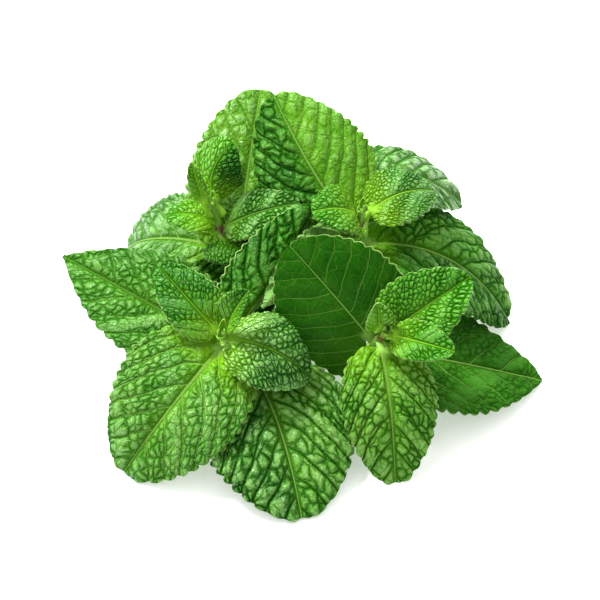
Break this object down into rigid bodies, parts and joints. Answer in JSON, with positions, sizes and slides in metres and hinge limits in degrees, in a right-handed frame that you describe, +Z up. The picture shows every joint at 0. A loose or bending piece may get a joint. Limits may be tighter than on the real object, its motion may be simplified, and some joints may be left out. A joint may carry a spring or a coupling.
{
  "type": "mint sprig",
  "caption": "Cut sprig of mint lying on a surface: a short square stem with leafy side shoots of broad, quilted, toothed leaves in crossed pairs.",
  "frame": {"origin": "middle of the sprig's bounding box, on the surface that it lies on", "axes": "+Z up from the surface, +X to the right along the longest extent, -Y towards the front leaves"},
  "size_m": [0.1514, 0.1246, 0.0671],
  "materials": {
    "leaf": "quilted, slightly glossy",
    "young_leaf": "finely quilted, slightly glossy",
    "stem": "ribbed, satin"
  },
  "bodies": {
    "root": {"back_left_pair_1_back": "leaf", "back_left_pair_1_front": "leaf", "back_left_pair_1_left": "leaf", "back_left_pair_2_front": "young_leaf", "back_left_pair_2_left": "young_leaf", "back_left_pair_2_right": "leaf", "back_left_pair_3_back": "young_leaf", "back_left_pair_3_left": "young_leaf", "back_right_pair_1_left": "leaf", "back_right_pair_1_right": "leaf", "back_right_pair_2_back": "leaf", "back_right_pair_2_right": "leaf", "back_right_pair_3_left": "young_leaf", "back_right_pair_3_right": "young_leaf", "back_right_pair_4_front": "young_leaf", "front_left_pair_1_left": "leaf", "front_left_pair_1_right": "leaf", "front_left_pair_2_back": "leaf", "front_left_pair_2_front": "leaf", "front_left_pair_3_left": "young_leaf", "front_left_pair_3_right": "young_leaf", "front_left_pair_4_back": "young_leaf", "front_right_pair_1_left": "leaf", "front_right_pair_1_right": "leaf", "front_right_pair_2_back": "young_leaf", "front_right_pair_2_front": "leaf", "front_right_pair_3_left": "young_leaf", "front_right_pair_3_right": "young_leaf", "stem": "stem"}
  },
  "joints": []
}
